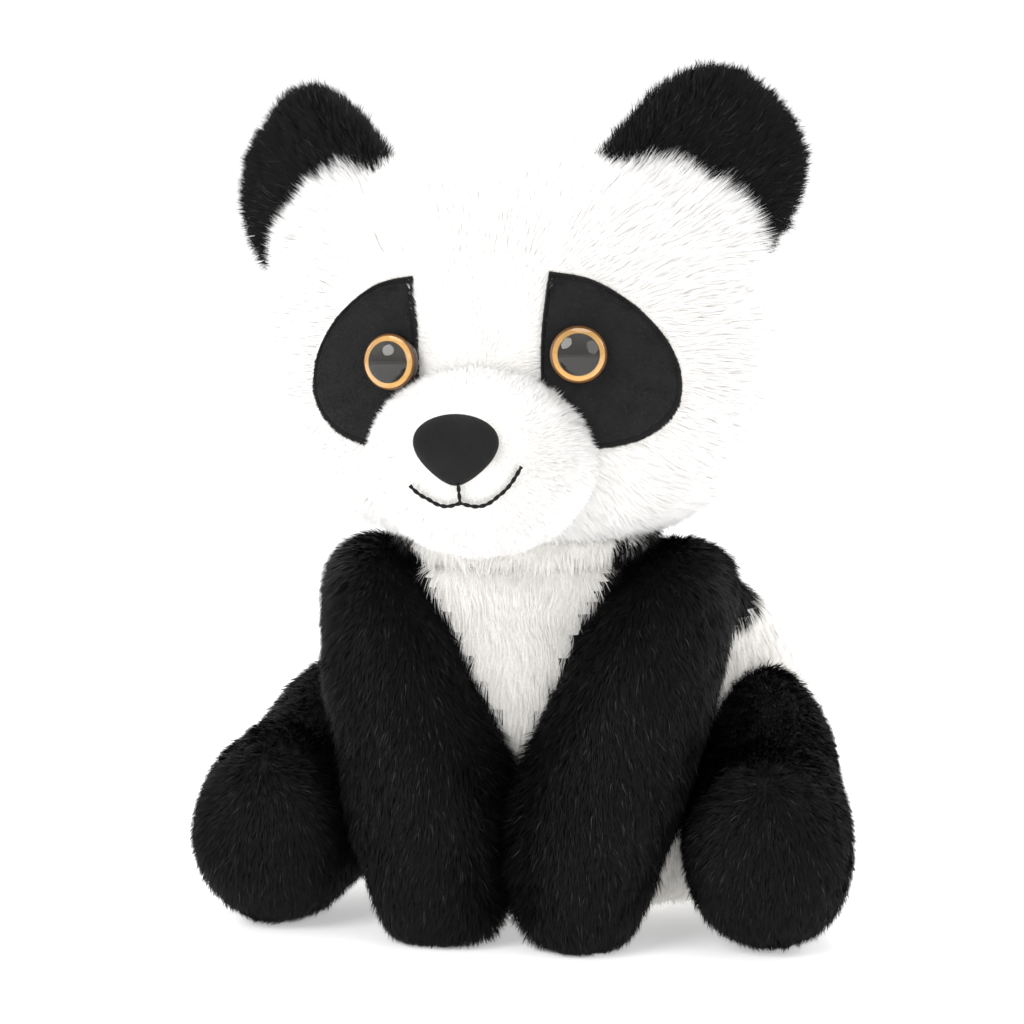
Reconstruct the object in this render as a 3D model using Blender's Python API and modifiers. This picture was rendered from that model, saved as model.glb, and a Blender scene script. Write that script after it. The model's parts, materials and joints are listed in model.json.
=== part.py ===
"""Sitting plush panda, as the sewn and stuffed pieces that it comes apart into.

The toy faces -Y and sits on the plane z = 0, with the origin on the flat of its seat.
Its own left side is at +X. Each moving group hangs on an empty that stands on its joint.
"""

from math import acos, atan2, cos, pi, radians, sin

import bmesh
import bpy
import numpy as np
from mathutils import Matrix, Vector

MM = 0.001
TOY = "plush_panda"

# Cloth and clearances
CLOTH = 2.4 * MM  # backing cloth with the dense foot of the pile
SHORT_CLOTH = 1.4 * MM  # short-pile cloth of the eye patches and the nose
EAR_CLOTH = 1.5 * MM  # the thinner backing of the ears
GAP = 0.4 * MM  # between pieces that touch
SEWN_ROOM = 3.0 * MM  # between a moving limb and the form it is sewn to

# Head
HEAD_CENTRE = Vector((0, -48, 200)) * MM
HEAD_HALF = Vector((86, 63, 67)) * MM
HEAD_POWER = 2.15  # seen from above; 2 is an ellipse, more is boxier
HEAD_RISE_POWER = 2.5  # the same, seen from the front and the side
JAW_TAPER = 0.04
CROWN_TAPER = 0.03
NECK_PIVOT = Vector((0, -38, 135)) * MM
NECK_RADIUS = 25 * MM
NECK_ROOM = 4 * MM

# Face
EYE_PLACES = {1: (31 * MM, 196.4 * MM), -1: (-27.2 * MM, 194 * MM)}
EYE_RADIUS = 9 * MM
PUPIL_RADIUS = 5.4 * MM
DOME_HEIGHT = 4.6 * MM  # how far the clear dome stands out
EYE_WALL = 0.9 * MM  # the clear rim around the gold ring
FLANGE = 1.4 * MM  # the black disc behind the gold ring
DISC = 0.4 * MM  # the gold ring and the pupil
DISC_ROOM = 0.3 * MM
POST_RADIUS = 2.3 * MM
POST_LOW = -12 * MM  # how deep the post runs into the head
POST_TIP = 1.0 * MM
WASHER_RADIUS = 7.4 * MM
WASHER = (1.0 * MM, 1.4 * MM)  # its thickness at the rim and at the post
POCKET_RADIUS = 8.2 * MM  # room in the stuffing for the post and its washer
POCKET_LOW = -17 * MM
PATCH_MIDDLE = (37, 193)
PATCH_OUTLINE = (
    (20, 221.5),
    (33, 219),
    (46, 211),
    (55.5, 200),
    (59.3, 189),
    (58, 179),
    (51, 171.5),
    (41, 167.5),
    (30, 167),
    (20, 172),
    (18, 184),
    (18, 202),
)  # of an eye patch, as (across, up) in millimetres from its inner top corner
MUZZLE_CENTRE = Vector((0, -107, 163)) * MM
MUZZLE_HALF = Vector((34, 35, 28)) * MM
NOSE_CENTRE = Vector((1.2, -141, 168)) * MM
NOSE_HALF = Vector((12.8, 7, 10.8)) * MM
THREAD = 0.8 * MM
MOUTH_X = 1.8 * MM
MOUTH_Z = 152 * MM
MOUTH_RISE = 4.4 * MM  # from the mouth up to the nose
SMILE_HALF = (16 * MM, 18 * MM)  # how far it reaches on its right and its left side
SMILE_CURL = (5 * MM, 11 * MM)  # how far its ends turn up
SMILE_DIP = 1.2 * MM

# Ears
EAR_PLACE = {1: radians(42), -1: radians(46)}  # from the crown towards the side
EAR_AHEAD = -0.12  # how far in front of the middle it is sewn
EAR_LEAN = {1: radians(41), -1: radians(45)}  # from upright towards the side
EAR_YAW = radians(26)  # how far its front looks out to the side
EAR_HALF = Vector((28.5, 9, 39)) * MM
EAR_CUP = 7 * MM
EAR_SINK = 5 * MM
EAR_SEAM = 0.13  # half the seam's gap, as a share of the half thickness

# Limbs, as (x, y, z, half width, half depth) in millimetres down the middle of the limb
TORSO = (
    (0, 24, 0, 0, 0),
    (0, 24, 0, 34, 30),
    (0, 24, 0, 62, 54),
    (0, 24, 16, 82, 68),
    (0, 23, 44, 86, 75),
    (0, 18, 74, 86, 74),
    (0, 4, 98, 79, 64),
    (0, -21, 117, 67, 47),
    (0, -37, 128, 48, 34),
    (0, -40, 131, 0, 0),
)
TORSO_EGG = 0.28  # wider at the hips than at the chest
ARM = (
    (25, -70, 0, 0, 0),
    (25, -70, 1, 14, 13),
    (25, -69, 17, 21.5, 22),
    (29, -65, 46, 26.5, 25),
    (37.5, -56, 76, 26.5, 28),
    (46, -44, 104, 23.5, 31),
    (51, -37, 124, 20, 27),
    (51, -35, 138, 0, 0),
)
LEG = (
    (85, -81, 33, 0, 0),
    (85, -76, 33, 21, 23),
    (85, -60, 33, 28, 33),
    (83, -40, 35, 26, 31),
    (76, -20, 47, 26, 36),
    (73, 2, 51, 27, 38),
    (73, 20, 46, 14, 23),
    (73, 27, 45, 0, 0),
)
ARM_PIVOT = Vector((54, -12, 128)) * MM
LEG_PIVOT = Vector((76, 24, 40)) * MM
SOLE_SEAM_Y = -67 * MM
SIDE_SEAM_Y = 4 * MM
YOKE_CORNER = Vector((0, -30, 98)) * MM  # the lower front edge of the black yoke
YOKE_TILT = radians(22)
BAG_CENTRE = Vector((0, 24, 22)) * MM
BAG_HALF = Vector((52, 38, 15)) * MM
BAG_TOP = 40 * MM
TAIL_CENTRE = Vector((0, 99, 36)) * MM
TAIL_HALF = Vector((19, 17, 17)) * MM
TAIL_PIVOT = Vector((0, 100, 36)) * MM
TAIL_ROOM = 3.0 * MM
STITCHES = 9  # the hand-sewn closing seam on the back

WHITE = (0.90, 0.88, 0.86)
BLACK = (0.018, 0.017, 0.018)
FIBRE = (0.85, 0.86, 0.87)


# ---------------------------------------------------------------- scene
def clear_scene():
    for thing in list(bpy.data.objects):
        bpy.data.objects.remove(thing, do_unlink=True)


def new_collection(name):
    collection = bpy.data.collections.new(name)
    bpy.context.scene.collection.children.link(collection)
    return collection


def new_material(name, colour, roughness, metallic=0.0):
    material = bpy.data.materials.new(name)
    material.use_nodes = True
    shader = material.node_tree.nodes["Principled BSDF"]
    shader.inputs["Base Color"].default_value = (*colour, 1)
    shader.inputs["Roughness"].default_value = roughness
    shader.inputs["Metallic"].default_value = metallic
    return material


class Body:
    """A group of pieces that moves as one, with its empty on the joint."""

    def __init__(self, name, place=None, parent=None):
        self.place = Vector((0, 0, 0)) if place is None else place
        self.empty = bpy.data.objects.new(name, None)
        self.empty.empty_display_size = 0.02
        PIECES.objects.link(self.empty)
        if parent:
            self.empty.parent = parent.empty
            self.empty.location = self.place - parent.place
        else:
            self.empty.location = self.place


def add_piece(name, mesh, body, material):
    """A piece whose mesh was made in world places, hung on its body's empty."""
    mesh.name = name
    mesh.transform(Matrix.Translation(-body.place))
    mesh.materials.clear()
    mesh.materials.append(material)
    mesh.shade_smooth()
    piece = bpy.data.objects.new(name, mesh)
    PIECES.objects.link(piece)
    piece.parent = body.empty
    return piece


def add_cutter(name, mesh):
    cutter = bpy.data.objects.new(name, mesh)
    CUTTERS.objects.link(cutter)
    cutter.hide_render = True
    cutter.display_type = "WIRE"
    return cutter


# ---------------------------------------------------------------- modifiers
def solidify(piece, thickness, offset=-1.0):
    shell = piece.modifiers.new("Cloth", "SOLIDIFY")
    shell.thickness = thickness
    shell.offset = offset


def swell(piece, distance):
    """Moves the whole surface out along its normals, or in if negative."""
    shift = piece.modifiers.new("Swell", "DISPLACE")
    shift.strength = distance
    shift.mid_level = 0.0


def cut(piece, *cutters, operation="DIFFERENCE"):
    for cutter in cutters:
        step = piece.modifiers.new("Cut", "BOOLEAN")
        step.operation = operation
        step.solver = "EXACT"
        step.object = cutter


# ---------------------------------------------------------------- meshes
def finished(bm, name):
    """A mesh of the closed form, with its faces turned out."""
    if bm.calc_volume(signed=True) < 0:
        bmesh.ops.reverse_faces(bm, faces=bm.faces)
    mesh = bpy.data.meshes.new(name)
    bm.to_mesh(mesh)
    bm.free()
    return mesh


def ball(name, shape, around=12, rings=8):
    """A sphere whose unit directions are each moved to shape(direction)."""
    bm = bmesh.new()
    bmesh.ops.create_uvsphere(bm, u_segments=around, v_segments=rings, radius=1)
    for v in bm.verts:
        v.co = shape(v.co.copy())
    return finished(bm, name)


def half_ball(name, shape, plane_point, normal, around=16, rings=8):
    """The part of the unit sphere ahead of a plane, open there, then shaped."""
    bm = bmesh.new()
    bmesh.ops.create_uvsphere(bm, u_segments=around, v_segments=rings, radius=1)
    everything = bm.verts[:] + bm.edges[:] + bm.faces[:]
    bmesh.ops.bisect_plane(
        bm,
        geom=everything,
        plane_co=plane_point,
        plane_no=normal,
        clear_inner=True,
        dist=1e-6,
    )
    for v in bm.verts:
        v.co = shape(v.co.copy())
    mesh = bpy.data.meshes.new(name)
    bm.to_mesh(mesh)
    bm.free()
    return mesh


def ellipsoid(centre, half):
    def shape(d):
        return centre + Vector((d.x * half.x, d.y * half.y, d.z * half.z))

    return shape


def smoothed(mesh, levels=1):
    """The subdivision surface of a coarse cage, as a mesh of its own."""
    cage = bpy.data.objects.new("cage", mesh)
    CUTTERS.objects.link(cage)
    soft = cage.modifiers.new("Soft", "SUBSURF")
    soft.levels = levels
    soft.render_levels = levels
    graph = bpy.context.evaluated_depsgraph_get()
    result = bpy.data.meshes.new_from_object(cage.evaluated_get(graph))
    bpy.data.objects.remove(cage, do_unlink=True)
    bpy.data.meshes.remove(mesh)
    return result


def form(name, stations, side=1, along="Z", around=8, egg=0.0):
    """A soft form through rings that stand across its middle line.

    Each ring is (x, y, z, half width, half depth) in millimetres. The rings lie
    across Z, or across Y for a leg that runs forwards.
    """
    last = len(stations) - 1
    shrink = 3 / (2 + cos(2 * pi / around))
    bm = bmesh.new()
    bmesh.ops.create_uvsphere(bm, u_segments=around, v_segments=last, radius=1)
    for v in bm.verts:
        ring = round(acos(max(-1, min(1, v.co.z))) / pi * last)
        x, y, z, width, depth = (k * MM for k in stations[ring])
        turn = atan2(v.co.y, v.co.x)
        out = shrink * width * cos(turn) * (1 + egg * sin(turn))
        up = shrink * depth * sin(turn)
        if along == "Z":
            v.co = Vector((side * (x + out), y + up, z))
        else:
            v.co = Vector((side * (x + out), y, z + up))
    mesh = smoothed(finished(bm, name))
    for v in mesh.vertices:
        v.co.z = max(v.co.z, 0.0)
    return mesh


def box(name, centre, size, tilt=0.0):
    bm = bmesh.new()
    bmesh.ops.create_cube(bm, size=1)
    turn = Matrix.Rotation(tilt, 4, "X")
    grow = Matrix.Diagonal((*size, 1))
    bm.transform(Matrix.Translation(centre) @ turn @ grow)
    return add_cutter(name, finished(bm, name))


def cylinder(name, frame, radius, low, high, around=20):
    """A closed cylinder along the frame's own Z, from low to high."""
    bm = bmesh.new()
    bmesh.ops.create_cone(
        bm,
        cap_ends=True,
        segments=around,
        radius1=radius,
        radius2=radius,
        depth=high - low,
    )
    bm.transform(frame @ Matrix.Translation((0, 0, (low + high) / 2)))
    return finished(bm, name)


def turned(name, profile, frame, body, material, steps=16):
    """A piece turned round the frame's own Z from an outline of (radius, height).

    The outline starts and ends on the axis, or closes on itself for a ring.
    """
    bm = bmesh.new()
    points = [bm.verts.new((radius, 0, height)) for radius, height in profile]
    for a, b in zip(points, points[1:]):
        bm.edges.new((a, b))
    if profile[0][0] > 0:
        bm.edges.new((points[-1], points[0]))
    mesh = bpy.data.meshes.new(name)
    bm.to_mesh(mesh)
    bm.free()
    guide = bpy.data.objects.new("guide", mesh)
    CUTTERS.objects.link(guide)
    screw = guide.modifiers.new("Turn", "SCREW")
    screw.steps = steps
    screw.render_steps = steps
    screw.use_merge_vertices = True
    screw.merge_threshold = 0.00001
    graph = bpy.context.evaluated_depsgraph_get()
    solid = bpy.data.meshes.new_from_object(guide.evaluated_get(graph))
    bpy.data.objects.remove(guide, do_unlink=True)
    bm = bmesh.new()
    bm.from_mesh(solid)
    bmesh.ops.remove_doubles(bm, verts=bm.verts, dist=0.00001)
    bm.transform(frame)
    bpy.data.meshes.remove(solid)
    piece = add_piece(name, finished(bm, name), body, material)
    piece.data.set_sharp_from_angle(angle=radians(40))
    return piece


def thread(name, route, radius, body, material):
    """An embroidered thread through the route's points."""
    curve = bpy.data.curves.new(name, "CURVE")
    curve.dimensions = "3D"
    curve.bevel_depth = radius
    curve.bevel_resolution = 1
    curve.use_fill_caps = True
    spline = curve.splines.new("POLY")
    spline.points.add(len(route) - 1)
    for point, place in zip(spline.points, route):
        point.co = (*(place - body.place), 1)
    curve.materials.append(material)
    piece = bpy.data.objects.new(name, curve)
    PIECES.objects.link(piece)
    piece.parent = body.empty
    return piece


# ---------------------------------------------------------------- head form
def head_shape(d):
    flat = (abs(d.x) ** HEAD_POWER + abs(d.y) ** HEAD_POWER) ** (1 / HEAD_POWER)
    rise = HEAD_RISE_POWER
    scale = (flat**rise + abs(d.z) ** rise) ** (-1 / rise)
    x, y, z = (k * scale for k in d)
    x *= head_width(z)
    return HEAD_CENTRE + Vector((x * HEAD_HALF.x, y * HEAD_HALF.y, z * HEAD_HALF.z))


def head_width(height):
    """Narrower at the jaw and a little at the crown; height runs from -1 to 1."""
    return 1 - (JAW_TAPER if height < 0 else CROWN_TAPER) * height * height


def face_point(x, z):
    """The point of the face in front of (x, z)."""
    height = (z - HEAD_CENTRE.z) / HEAD_HALF.z
    across = abs(x) / (HEAD_HALF.x * head_width(height))
    level = (1 - abs(height) ** HEAD_RISE_POWER) ** (1 / HEAD_RISE_POWER)
    room = max(0.0, level**HEAD_POWER - across**HEAD_POWER)
    return Vector((x, HEAD_CENTRE.y - HEAD_HALF.y * room ** (1 / HEAD_POWER), z))


def face_normal(x, z):
    step = 1 * MM
    right = face_point(x + step, z) - face_point(x - step, z)
    up = face_point(x, z + step) - face_point(x, z - step)
    return right.cross(up).normalized()


def frame_at(point, normal):
    """A frame with its origin at the point and its Z along the normal."""
    turn = Vector((0, 0, 1)).rotation_difference(normal).to_matrix().to_4x4()
    return Matrix.Translation(point) @ turn


def muzzle_front(x, z):
    x_part = x / MUZZLE_HALF.x
    z_part = (z - MUZZLE_CENTRE.z) / MUZZLE_HALF.z
    room = max(0.0, 1 - x_part**2 - z_part**2)
    return MUZZLE_CENTRE.y - MUZZLE_HALF.y * room**0.5


# ---------------------------------------------------------------- pieces
def make_head(body):
    skin = ball("head_skin", head_shape, 20, 12)
    neck = add_cutter(
        "neck_room",
        ball(
            "neck_room",
            ellipsoid(NECK_PIVOT, Vector((1, 1, 1)) * (NECK_RADIUS + NECK_ROOM)),
        ),
    )
    muzzle_hole = add_cutter(
        "muzzle_hole",
        ball("muzzle_hole", ellipsoid(MUZZLE_CENTRE, MUZZLE_HALF * 0.8)),
    )
    keep = add_cutter("head_keep", skin.copy())
    swell(keep, GAP)
    ear_keep = add_cutter("ear_keep", skin.copy())
    swell(ear_keep, SEWN_ROOM)

    cover = add_piece("head_cover", skin.copy(), body, white_plush)
    solidify(cover, CLOTH)
    cut(cover, neck, muzzle_hole)
    filling = add_piece("head_stuffing", skin.copy(), body, fibre)
    swell(filling, -(CLOTH + GAP))
    cut(filling, neck, muzzle_hole)
    muzzle_keep = make_muzzle(body, keep)
    for side, name in SIDES:
        make_eye(side, name, body, cover, filling, muzzle_keep)
    return neck, ear_keep


def make_patch(side, name, body, hole, muzzle_keep):
    """The short-pile patch that lies on the face around an eye."""

    corners = np.array(PATCH_OUTLINE) - PATCH_MIDDLE
    bearing = np.arctan2(corners[:, 1], corners[:, 0])
    radius = np.linalg.norm(corners, axis=1) * MM

    def patch_shape(d):
        r, turn = (d.x**2 + d.y**2) ** 0.5, atan2(d.y, d.x)
        reach = r * np.interp(turn, bearing, radius, period=2 * pi)
        px = PATCH_MIDDLE[0] * MM + reach * cos(turn)
        pz = PATCH_MIDDLE[1] * MM + reach * sin(turn)
        spot = face_point(side * px, pz)
        return spot + face_normal(side * px, pz) * GAP

    mesh = half_ball("patch", patch_shape, (0, 0, 0), (0, 0, 1), 32)
    if side < 0:
        mesh.flip_normals()
    patch = add_piece("eye_patch_" + name, mesh, body, short_black)
    solidify(patch, SHORT_CLOTH, 1.0)
    cut(patch, hole, muzzle_keep)


def make_eye(side, name, body, head_cover, head_filling, muzzle_keep):
    """A safety eye: dome, ring, pupil, shank and the washer that locks it."""
    x, z = EYE_PLACES[side]
    frame = frame_at(face_point(x, z), face_normal(x, z))
    hole = add_cutter(
        "post_hole_" + name,
        cylinder("hole", frame, POST_RADIUS + GAP, -8 * MM, 8 * MM, 12),
    )
    pocket = add_cutter(
        "post_pocket_" + name,
        cylinder("pocket", frame, POCKET_RADIUS, POCKET_LOW, 8 * MM, 16),
    )
    cut(head_cover, hole)
    cut(head_filling, pocket)
    make_patch(side, name, body, hole, muzzle_keep)

    seat = GAP + SHORT_CLOTH + GAP
    flange_top = seat + FLANGE
    flange_radius = EYE_RADIUS - EYE_WALL - DISC_ROOM
    turned(
        "eye_shank_" + name,
        (
            (0, flange_top),
            (flange_radius, flange_top),
            (flange_radius, seat),
            (POST_RADIUS, seat),
            (POST_RADIUS, POST_LOW + POST_TIP),
            (POST_RADIUS - 0.8 * POST_TIP, POST_LOW),
            (0, POST_LOW),
        ),
        frame,
        body,
        black_plastic,
    )
    bore = POST_RADIUS + DISC_ROOM
    washer_top = -(CLOTH + 4 * GAP)
    turned(
        "eye_washer_" + name,
        (
            (bore, washer_top - WASHER[1]),
            (WASHER_RADIUS, washer_top - WASHER[0]),
            (WASHER_RADIUS, washer_top),
            (bore, washer_top),
        ),
        frame,
        body,
        white_plastic,
    )
    disc_low = flange_top + DISC_ROOM
    disc_top = disc_low + DISC
    iris_bore = PUPIL_RADIUS + DISC_ROOM
    iris_radius = EYE_RADIUS - EYE_WALL - GAP
    turned(
        "eye_iris_" + name,
        (
            (iris_bore, disc_top),
            (iris_radius, disc_top),
            (iris_radius, disc_low),
            (iris_bore, disc_low),
        ),
        frame,
        body,
        gold,
    )
    turned(
        "eye_pupil_" + name,
        (
            (0, disc_top),
            (PUPIL_RADIUS, disc_top),
            (PUPIL_RADIUS, disc_low),
            (0, disc_low),
        ),
        frame,
        body,
        black_plastic,
    )
    ceiling = disc_top + DISC_ROOM
    arc = [radians(90 - k * 22.5) for k in range(5)]
    dome = [(EYE_RADIUS * cos(a), ceiling + DOME_HEIGHT * sin(a)) for a in arc]
    turned(
        "eye_lens_" + name,
        (
            (0, ceiling + DOME_HEIGHT),
            *dome[1:-1],
            (EYE_RADIUS, ceiling),
            (EYE_RADIUS, seat),
            (EYE_RADIUS - EYE_WALL, seat),
            (EYE_RADIUS - EYE_WALL, ceiling),
            (0, ceiling),
        ),
        frame,
        body,
        clear_plastic,
    )


def make_muzzle(body, head_keep):
    skin = ball("muzzle_skin", ellipsoid(MUZZLE_CENTRE, MUZZLE_HALF), 16, 10)
    keep = add_cutter("muzzle_keep", skin.copy())
    swell(keep, GAP)

    cover = add_piece("muzzle_cover", skin.copy(), body, short_white)
    solidify(cover, CLOTH)
    cut(cover, head_keep)
    filling = add_piece("muzzle_stuffing", skin.copy(), body, fibre)
    swell(filling, -(CLOTH + GAP))
    cut(filling, head_keep)

    def nose_shape(d):
        taper = 1 + 0.30 * d.z - 0.12 * d.z * d.z
        x = d.x * NOSE_HALF.x * taper
        return NOSE_CENTRE + Vector((x, d.y * NOSE_HALF.y, d.z * NOSE_HALF.z))

    nose = ball("nose", nose_shape)
    nose_cover = add_piece("nose_cover", nose.copy(), body, velour)
    solidify(nose_cover, SHORT_CLOTH)
    cut(nose_cover, keep)
    nose_pad = add_piece("nose_pad", nose.copy(), body, fibre)
    swell(nose_pad, -(SHORT_CLOTH + GAP))
    cut(nose_pad, keep)

    def on_muzzle(x, z):
        ahead = THREAD + GAP * 1.5
        return Vector((x, muzzle_front(x, z) - ahead, z))

    foot = MOUTH_Z + 2.2 * THREAD
    step = (MOUTH_Z + MOUTH_RISE - foot) / 2
    line = [on_muzzle(MOUTH_X, foot + k * step) for k in range(3)]
    thread("mouth_line_thread", line, THREAD, body, black_thread)
    smile = []
    for k in range(-8, 9):
        share = abs(k) / 8
        dip = SMILE_DIP * sin(pi * min(1.0, 1.6 * share))
        curl = SMILE_CURL[k > 0] * share**3.5
        x = MOUTH_X + k * SMILE_HALF[k > 0] / 8
        smile.append(on_muzzle(x, MOUTH_Z - dip + curl))
    thread("mouth_smile_thread", smile, THREAD, body, black_thread)
    return keep


def make_ear(side, name, body, ear_keep):
    turn = Matrix.Rotation(side * EAR_LEAN[side], 3, "Y")
    turn = Matrix.Rotation(side * EAR_YAW, 3, "Z") @ turn
    along, back, up = turn.col
    root = ear_root(side)

    def ear_shape(inset):
        half = EAR_HALF - Vector((3, 1.5, 3)) * inset

        def shape(d):
            power = 2.4
            scale = sum(abs(k) ** power for k in d) ** (-1 / power)
            s, t, h = d.x * scale, d.y * scale, d.z * scale
            cup = -EAR_CUP * s * s
            return (
                root
                + along * (s * half.x)
                + up * (h * half.z - EAR_SINK)
                + back * (t * half.y + cup)
            )

        return shape

    for sign, part in ((-1, "front"), (1, "back")):
        mesh = half_ball(
            "ear", ear_shape(0), (0, sign * EAR_SEAM, 0), (0, sign, 0), 20, 10
        )
        panel = add_piece(f"ear_{part}_{name}", mesh, body, black_plush)
        solidify(panel, EAR_CLOTH)
        cut(panel, ear_keep)
    mesh = ball("ear", ear_shape(EAR_CLOTH + GAP), 12, 8)
    batting = add_piece("ear_batting_" + name, mesh, body, fibre)
    cut(batting, ear_keep)


def ear_root(side):
    """The place on the head where the middle of an ear is sewn."""
    place = EAR_PLACE[side]
    return head_shape(Vector((side * sin(place), EAR_AHEAD, cos(place))))


def make_torso(body, neck_room):
    skin = form("torso_skin", TORSO, around=10, egg=TORSO_EGG)
    keep = add_cutter("torso_keep", skin.copy())
    swell(keep, SEWN_ROOM)
    tail_keep = add_cutter("tail_keep", skin.copy())
    swell(tail_keep, TAIL_ROOM)
    wide = 300 * MM
    seam = SIDE_SEAM_Y
    ahead = Vector((0, seam - wide / 2 - GAP / 2, 0))
    behind = Vector((0, seam + wide / 2 + GAP / 2, 0))
    front_room = box("front_room", ahead, (wide, wide, 2 * wide))
    back_room = box("back_room", behind, (wide, wide, 2 * wide))
    turn = Matrix.Rotation(YOKE_TILT, 4, "X")
    yoke_size = (wide, wide, wide)
    inner, outer = wide / 2 + GAP / 2, wide / 2 - GAP / 2
    yoke_middle = YOKE_CORNER + turn @ Vector((0, inner, inner))
    yoke_room = box("yoke_room", yoke_middle, yoke_size, YOKE_TILT)
    cut_middle = YOKE_CORNER + turn @ Vector((0, outer, outer))
    yoke_cut = box("yoke_cut", cut_middle, yoke_size, YOKE_TILT)

    panels = (
        ("torso_front_cover", front_room, "INTERSECT", white_plush),
        ("torso_back_cover", back_room, "INTERSECT", white_plush),
        ("shoulder_yoke", yoke_room, "INTERSECT", black_plush),
    )
    for name, room, how, material in panels:
        cover = add_piece(name, skin.copy(), body, material)
        solidify(cover, CLOTH)
        cut(cover, neck_room)
        if name != "shoulder_yoke":
            cut(cover, yoke_cut)
        cut(cover, room, operation=how)

    filling = add_piece("torso_stuffing", skin.copy(), body, fibre)
    swell(filling, -(CLOTH + GAP))
    bag_room = box("bag_room", Vector((0, 0, BAG_TOP - wide / 2)), (wide,) * 3)
    cut(filling, neck_room, bag_room)
    bag = ball("bag", ellipsoid(BAG_CENTRE, BAG_HALF))
    add_piece("pellet_bag", bag, body, bag_cloth)

    stitches = []
    for k in range(STITCHES):
        z = (48 + 4 * k) * MM
        y = back_line(skin, z) + 0.9 * MM
        stitches.append(Vector(((1.4 if k % 2 else -1.4) * MM, y, z)))
    thread("closing_stitch", stitches, 0.4 * MM, body, white_thread)

    tail = ball("tail_skin", ellipsoid(TAIL_CENTRE, TAIL_HALF))
    return keep, tail_keep, tail


def back_line(skin, z):
    """How far back the torso's middle reaches at a height."""
    near = [v.co for v in skin.vertices if abs(v.co.x) < 1 * MM and v.co.y > 0]
    near.sort(key=lambda p: p.z)
    for low, high in zip(near, near[1:]):
        if low.z <= z <= high.z and high.z > low.z:
            share = (z - low.z) / (high.z - low.z)
            return low.y + share * (high.y - low.y)
    return near[-1].y


def make_limb(side, name, stations, body, along, keep, limb):
    """A limb's cover and its stuffing, open where it is sewn to the torso."""
    skin = form(limb, stations, side, along)
    cover = add_piece(f"{limb}_cover_{name}", skin.copy(), body, black_plush)
    solidify(cover, CLOTH)
    filling = add_piece(f"{limb}_stuffing_{name}", skin.copy(), body, fibre)
    swell(filling, -(CLOTH + GAP))
    cut(cover, keep)
    cut(filling, keep)
    return cover, skin


def make_leg(side, name, body, keep):
    cover, skin = make_limb(side, name, LEG, body, "Y", keep, "leg")
    wide = 300 * MM
    ahead = Vector((0, SOLE_SEAM_Y - wide / 2, 0))
    sole_room = bpy.data.objects.get("sole_room") or box(
        "sole_room", ahead, (2 * wide, wide, wide)
    )
    shin = Vector((0, SOLE_SEAM_Y + wide / 2 + GAP, 0))
    shin_room = bpy.data.objects.get("shin_room") or box(
        "shin_room", shin, (2 * wide, wide, wide)
    )
    cut(cover, shin_room, operation="INTERSECT")
    sole = add_piece("foot_sole_" + name, skin.copy(), body, black_plush)
    solidify(sole, CLOTH)
    cut(sole, sole_room, operation="INTERSECT")


def make_tail(body, keep, tail):
    cover = add_piece("tail_cover", tail.copy(), body, white_plush)
    solidify(cover, CLOTH)
    filling = add_piece("tail_stuffing", tail.copy(), body, fibre)
    swell(filling, -(CLOTH + GAP))
    cut(cover, keep)
    cut(filling, keep)


# ---------------------------------------------------------------- assembly
clear_scene()
PIECES = new_collection(TOY)
CUTTERS = new_collection("cutters")
SIDES = ((1, "left"), (-1, "right"))

white_plush = new_material("white_plush", WHITE, 0.9)
short_white = new_material("short_white_plush", WHITE, 0.85)
black_plush = new_material("black_plush", BLACK, 0.8)
short_black = new_material("short_black_plush", (0.02, 0.02, 0.022), 0.8)
velour = new_material("nose_velour", (0.016, 0.016, 0.017), 0.85)
fibre = new_material("polyester_fibre", FIBRE, 0.95)
bag_cloth = new_material("bag_cloth", (0.7, 0.68, 0.62), 0.9)
black_thread = new_material("black_thread", (0.015, 0.015, 0.016), 0.6)
white_thread = new_material("white_thread", WHITE, 0.6)
black_plastic = new_material("black_plastic", (0.006, 0.006, 0.006), 0.2)
white_plastic = new_material("white_plastic", (0.8, 0.8, 0.78), 0.4)
clear_plastic = new_material("clear_plastic", (0.95, 0.95, 0.95), 0.03)
gold = new_material("gold_foil", (0.62, 0.36, 0.10), 0.3, 1.0)

torso_body = Body("torso_axis")
neck_body = Body("neck_axis", NECK_PIVOT, torso_body)
head_body = Body("head_axis", NECK_PIVOT, neck_body)
wad = ball("wad", ellipsoid(NECK_PIVOT, Vector((1, 1, 1)) * NECK_RADIUS))
add_piece("neck_wad", wad, neck_body, fibre)
neck_cutter, ear_cutter = make_head(head_body)
for ear_side, ear_name in SIDES:
    ear_body = Body("ear_axis_" + ear_name, ear_root(ear_side), head_body)
    make_ear(ear_side, ear_name, ear_body, ear_cutter)
torso_cutter, tail_cutter, tail_form = make_torso(torso_body, neck_cutter)
for limb_side, limb_name in SIDES:
    across = Vector((limb_side, 1, 1))
    arm_body = Body("arm_axis_" + limb_name, ARM_PIVOT * across, torso_body)
    make_limb(limb_side, limb_name, ARM, arm_body, "Z", torso_cutter, "arm")
    leg_body = Body("leg_axis_" + limb_name, LEG_PIVOT * across, torso_body)
    make_leg(limb_side, limb_name, leg_body, torso_cutter)
tail_body = Body("tail_axis", TAIL_PIVOT, torso_body)
make_tail(tail_body, tail_cutter, tail_form)
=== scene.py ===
"""Looks of the sitting plush panda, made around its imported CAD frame.

Every sewn form is a skin with its pile standing on it. The toy faces -Y, its own left
is +X, and it sits on z = 0. Sizes are in metres; the tables of rings are in millimetres.
"""

import json
from math import cos, pi, radians, sin

import bmesh
import bpy
import numpy as np
from mathutils import Matrix, Vector, kdtree
from mathutils.bvhtree import BVHTree


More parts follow.
